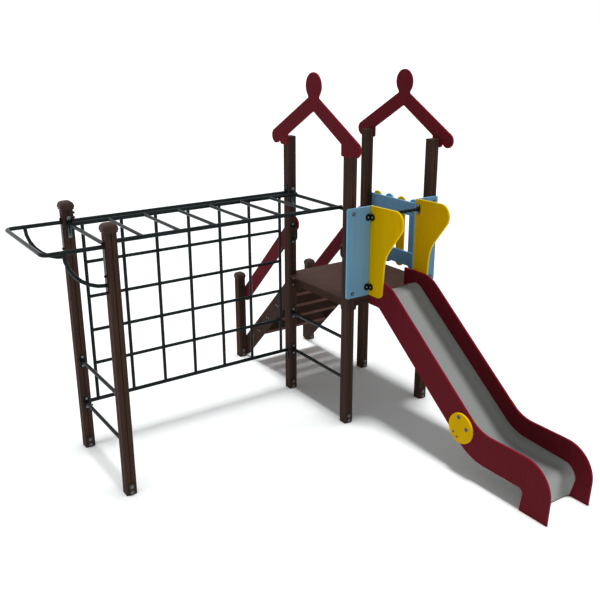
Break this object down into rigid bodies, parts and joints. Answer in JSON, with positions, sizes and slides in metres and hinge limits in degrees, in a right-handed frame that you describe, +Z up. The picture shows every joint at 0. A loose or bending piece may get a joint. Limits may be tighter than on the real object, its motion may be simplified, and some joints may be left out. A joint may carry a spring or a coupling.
{
  "type": "play structure",
  "caption": "Play structure with a gabled deck tower, a stair, a steel chute between side boards, a board railing, and an overhead ladder with a climbing grid.",
  "frame": {"origin": "middle of the foot of the tower post where the ladder arrives on the stair's side, on the ground", "axes": "+X from the ladder to the tower, +Y from the slide to the stair, +Z up"},
  "size_m": [3.9461, 4.4962, 3.385],
  "materials": {
    "post": "brown coated, grooved, semi-matte",
    "cap": "moulded, semi-matte",
    "deck": "fine anti-slip texture, matte",
    "frame": "smooth, matte",
    "red_board": "fine orange-peel texture",
    "blue_board": "fine orange-peel texture",
    "yellow_board": "fine orange-peel texture",
    "tube": "dark grey-green coating, satin",
    "chute": "smooth drawn sheet, satin"
  },
  "bodies": {
    "root": {"post_ladder_back": "post", "post_ladder_front": "post", "post_tower_back_left": "post", "post_tower_back_right": "post", "post_tower_front_left": "post", "post_tower_front_right": "post", "post_stair_left": "post", "post_stair_right": "post", "cap_ladder_back": "cap", "cap_ladder_front": "cap", "cap_stair_left": "cap", "cap_stair_right": "cap", "deck_board": "deck", "deck_beam_back": "frame", "deck_beam_front": "frame", "deck_beam_left": "frame", "deck_beam_right": "frame", "deck_bearer": "frame", "stringer_left": "frame", "stringer_right": "frame", "tread_1": "deck", "tread_2": "deck", "tread_3": "deck", "tread_4": "deck", "riser_1": "deck", "riser_2": "deck", "riser_3": "deck", "riser_4": "deck", "handrail_left": "red_board", "handrail_right": "red_board", "gable_left": "red_board", "gable_right": "red_board", "slide_side_left": "red_board", "slide_side_right": "red_board", "railing_board_lower": "blue_board", "railing_board_upper": "blue_board", "railing_slat_1": "yellow_board", "railing_slat_2": "blue_board", "railing_slat_3": "yellow_board", "railing_slat_4": "blue_board", "railing_slat_5": "yellow_board", "entrance_board_left": "blue_board", "entrance_board_right": "blue_board", "fin_left": "yellow_board", "fin_right": "yellow_board", "disc_left": "yellow_board", "disc_right": "yellow_board", "chute": "chute", "chute_rod_upper": "tube", "chute_rod_lower": "tube", "head_bar": "tube", "overhead_ladder": "tube", "reach_bar": "tube", "climbing_grid": "tube", "rung_ladder_high": "tube", "rung_ladder_low": "tube", "rung_tower_high": "tube", "rung_tower_low": "tube", "grab_handle_back": "tube", "grab_handle_front": "tube"}
  },
  "joints": []
}
